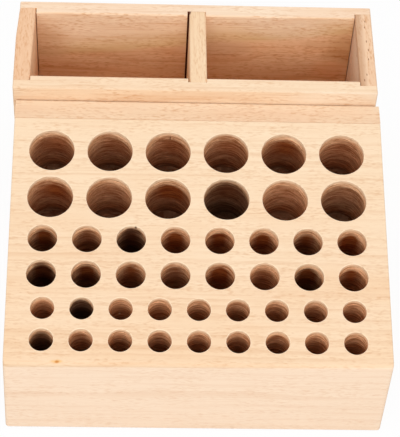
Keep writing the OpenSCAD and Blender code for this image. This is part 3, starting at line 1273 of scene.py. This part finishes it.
@dataclass
class Board:
    """A flat board of the rack: the solid's own shape with its edges softened.

    Attributes:
        node: the solid that it stands for.
        piece: name of the piece.
        slot: the record's material slot.
        soft_mm: rounding of each edge.
        gap_mm: how far the front and the rear face stand clear of the next boards.
        taper_mm: how far the rear of a side board, or the left end of a long one, is set to the right.
    """

    node: str
    piece: str
    slot: str
    soft_mm: float = 0.1
    gap_mm: tuple[float, float] = (0.0, 0.0)
    taper_mm: float = 0.0

    SOFT_STEPS = 2
    SHARP_DEG = 25.0
    FLAT_DEG = 0.5
    TAPER_START = 0.6
    END_MM = 12.0
    EASE_MM = 0.7

    def build(self, wood: bpy.types.Material) -> bpy.types.Object:
        """Copy the solid's mesh, merge its triangles into whole faces and soften the edges.

        Args:
            wood: the board's material.

        Returns:
            The piece.
        """
        made = bmesh.new()
        made.from_mesh(frame["nodes"][self.node].data)
        bmesh.ops.remove_doubles(made, verts=made.verts, dist=WELD_M)
        bmesh.ops.dissolve_limit(made, angle_limit=math.radians(self.FLAT_DEG), verts=made.verts,
                                 edges=made.edges)
        bmesh.ops.recalc_face_normals(made, faces=made.faces)
        self.settle(made)
        mesh = bpy.data.meshes.new(self.piece)
        made.to_mesh(mesh)
        made.free()
        mesh.materials.clear()
        mesh.materials.append(wood)
        piece = to_piece(self.piece, mesh)
        soft = piece.modifiers.new("soft", "BEVEL")
        soft.width = self.soft_mm * MM
        soft.segments = self.SOFT_STEPS
        soft.limit_method = "ANGLE"
        soft.angle_limit = math.radians(self.SHARP_DEG)
        soft.miter_outer = "MITER_ARC"
        return smoothed(baked(piece))

    def settle(self, made: bmesh.types.BMesh) -> None:
        """Set the board as crooked as the real one, open its joints and level the tops of let-in ends.

        Args:
            made: the board's mesh.
        """
        low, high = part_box(self.node)
        side = high.y - low.y > high.x - low.x
        start = low.y + (high.y - low.y) * self.TAPER_START
        if side and self.taper_mm:
            bmesh.ops.bisect_plane(made, geom=[*made.verts, *made.edges, *made.faces], dist=WELD_M,
                                   plane_co=(0.0, start, 0.0), plane_no=(0.0, 1.0, 0.0))
        for vert in made.verts:
            inner = side and vert.co.x > (low.x + high.x) / 2
            back = max((vert.co.y - start) / (high.y - start), 0.0)
            along = (vert.co.y - low.y) / (high.y - low.y) if inner else back
            end = along if side else float(vert.co.x < low.x + self.END_MM * MM)
            vert.co.x += self.taper_mm * MM * end
            tip = min(vert.co.y - low.y, high.y - vert.co.y) < WELD_M
            if side and tip and vert.co.z > high.z - self.EASE_MM * MM:
                vert.co.z = high.z
            if vert.co.y < low.y + WELD_M:
                vert.co.y += self.gap_mm[0] * MM
            elif vert.co.y > high.y - WELD_M:
                vert.co.y -= self.gap_mm[1] * MM

    def dress(self, piece: bpy.types.Object) -> bpy.types.Object:
        """Tie the piece to its body and solid."""
        return dressed(piece, self.node, self.slot)


class OpenBox:
    """The ledge strip and the open box behind it, board by board."""

    BOARDS = (
        (Board("ledge_strip", "ledge_strip_wood", "beech_strip", gap_mm=(0.08, 0.36)), Finishes.STRIP),
        (Board("front_wall", "front_wall_board", "beech_front"), Finishes.FRONT),
        (Board("back_wall", "back_wall_board", "beech_back", taper_mm=1.0), Finishes.BACK),
        (Board("left_wall", "left_wall_board", "beech_end", taper_mm=1.0), Finishes.LEFT),
        (Board("right_wall", "right_wall_board", "beech_end"), Finishes.RIGHT),
        (Board("divider", "divider_board", "beech_inner"), Finishes.INNER),
        (Board("floor_board", "bay_floor_panel", "beech_inner"), Finishes.INNER),
    )

    def build(self) -> None:
        """Make every board with its own wood, and tie it to its solid."""
        woods: dict[str, bpy.types.Material] = {}
        for board, finish in self.BOARDS:
            if finish.name not in woods:
                woods[finish.name] = finish.make()
            board.dress(board.build(woods[finish.name]))


@dataclass
class Studio:
    """Pale floor, soft light and the camera of the photograph.

    Attributes:
        camera_mm: the camera's place.
        camera_deg: its Euler turn.
        focal_px: its focal length, in pixels of the photograph.
        frame_px: the photograph's longer side.
        sky: strength of the even light from all round.
        floor_half_m: half the floor's side.
        floor_colour, floor_bounce: the floor's colour to the eye, and in the light that it throws back.
        floor_glow: how much of the floor shows as plain white.
    """

    camera_mm: tuple[float, float, float] = (-28.194, -488.099, 673.732)
    camera_deg: tuple[float, float, float] = (37.30555, -2.27124, -0.62792)
    focal_px: float = 1812.446
    frame_px: float = 437.0
    sky: float = 0.78
    floor_half_m: float = 2.5
    floor_colour: Colour = (0.95, 0.95, 0.95, 1.0)
    floor_bounce: Colour = (0.62, 0.62, 0.62, 1.0)
    floor_glow: float = 0.92

    SENSOR_MM = 36.0
    CLIP_M = 0.01
    FLOOR_DROP_M = 0.0002
    WHITE = (1.0, 1.0, 1.0, 1.0)
    LAMPS = (("front_panel", (-0.1, -1.2, 0.97), (1.6, 0.4), 8.9),
             ("top_panel", (0.0, 0.0, 1.65), (1.2, 1.2), 1.5))
    AIM = Vector((0.0, 0.0, 0.05))

    def shown(self, graph: Graph) -> Val:
        """1 where the eye or a mirror looks straight at the surface, and 0 for the light it gives.

        Args:
            graph: the tree to add to.

        Returns:
            A mask of 0 or 1.
        """
        seen = graph.node("ShaderNodeLightPath", None, None, "Is Camera Ray")
        mirrored = graph.math("MAXIMUM", seen, seen.beside("Is Glossy Ray"))
        return graph.math("MAXIMUM", mirrored, seen.beside("Is Transmission Ray"))

    def world(self) -> None:
        """White to the eye, and an even light of the given strength."""
        world = bpy.data.worlds.new("studio")
        bpy.context.scene.world = world
        world.use_nodes = True
        graph = Graph(world.node_tree)
        light = graph.node("ShaderNodeBackground", None, {"Color": self.WHITE, "Strength": self.sky})
        seen = graph.node("ShaderNodeBackground", None, {"Color": self.WHITE, "Strength": 1.0})
        both = graph.node("ShaderNodeMixShader", None, {0: self.shown(graph), 1: light, 2: seen})
        graph.node("ShaderNodeOutputWorld", None, {"Surface": both})

    def floor(self) -> None:
        """A pale floor that keeps a soft shadow."""
        half = self.floor_half_m
        square = ((-half, -half), (half, -half), (half, half), (-half, half))
        mesh = bpy.data.meshes.new("floor")
        mesh.from_pydata([(x, y, -self.FLOOR_DROP_M) for x, y in square], [], [(0, 1, 2, 3)])
        shade = Shade("pale_floor")
        shown = self.shown(shade)
        colour = shade.mix(shown, self.floor_bounce, self.floor_colour)
        plain = shade.node("ShaderNodeBsdfDiffuse", None, {"Color": colour})
        glow = shade.node("ShaderNodeEmission", None, {"Color": self.WHITE, "Strength": 1.0})
        both = shade.node("ShaderNodeMixShader", None, {0: shown * self.floor_glow, 1: plain, 2: glow})
        shade.node("ShaderNodeOutputMaterial", None, {"Surface": both})
        mesh.materials.append(shade.material)
        to_piece("studio_floor", mesh)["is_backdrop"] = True

    def lamps(self) -> None:
        """A wide soft panel in front and a square one overhead."""
        for name, place, (wide, tall), power in self.LAMPS:
            light = bpy.data.lights.new(name, "AREA")
            light.shape = "RECTANGLE"
            light.size, light.size_y = wide, tall
            light.energy = power
            lamp = bpy.data.objects.new(name, light)
            lamp.location = place
            lamp.rotation_euler = (Vector(place) - self.AIM).to_track_quat("Z", "Y").to_euler()
            bpy.context.scene.collection.objects.link(lamp)

    def camera(self) -> None:
        """The photograph's own view, from a fit to its edges and holes."""
        lens = bpy.data.cameras.new("photo_view")
        lens.sensor_width = self.SENSOR_MM
        lens.lens = self.focal_px * self.SENSOR_MM / self.frame_px
        lens.clip_start = self.CLIP_M
        view = bpy.data.objects.new("photo_view", lens)
        view.location = Vector(self.camera_mm) * MM
        view.rotation_euler = Euler([math.radians(a) for a in self.camera_deg], "XYZ")
        bpy.context.scene.collection.objects.link(view)
        bpy.context.scene.camera = view

    def build(self) -> None:
        """Set up the whole studio."""
        scene = bpy.context.scene
        scene.view_settings.view_transform = "Standard"
        self.world()
        self.floor()
        self.lamps()
        self.camera()
        LOG.info("studio: floor, %d panels and the camera", len(self.LAMPS))


def corners(box: Any) -> list[list[float]]:
    """A box's two corners as plain lists."""
    return [[float(value) for value in corner] for corner in box]


def main() -> None:
    """Build the rack piece by piece, then the studio, and take the bounds before and after."""
    logging.basicConfig(level=logging.INFO, format="%(name)s %(message)s")
    solid_box = corners(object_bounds())
    slope = Slope.of("hole_block")
    rows = (
        # brown, narrow and side set the painted shade on the far walls as well as the browning
        DrilledRows(HoleSize.LARGE, slope, segments=72, brown=0.86, narrow=0.15, side=0.2, seed=11,
                    burnt={"large_front_4": 0.8, "large_front_6": 0.3}),
        DrilledRows(HoleSize.MEDIUM, slope, segments=56, brown=1.05, narrow=0.62, side=0.05, seed=12,
                    burnt={"medium_rear_1": 0.45, "medium_rear_2": 0.35, "medium_rear_3": 1.0,
                           "medium_rear_7": 0.35, "medium_front_1": 0.95, "medium_front_2": 0.6,
                           "medium_front_3": 0.3, "medium_front_4": 0.3, "medium_front_7": 0.65}),
        DrilledRows(HoleSize.SMALL, slope, segments=48, brown=0.55, narrow=0.5, side=-0.08, seed=13,
                    burnt={"small_rear_2": 1.3, "small_front_1": 0.85}),
    )
    block = HoleBlock("hole_block", slope, rows)
    block.dress(block.build(Finishes.BLOCK.make(), Finishes.BORE.make()))
    OpenBox().build()
    Studio().build()
    {"solids": solid_box, "dressed": corners(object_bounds())}


if __name__ == "__main__":
    main()
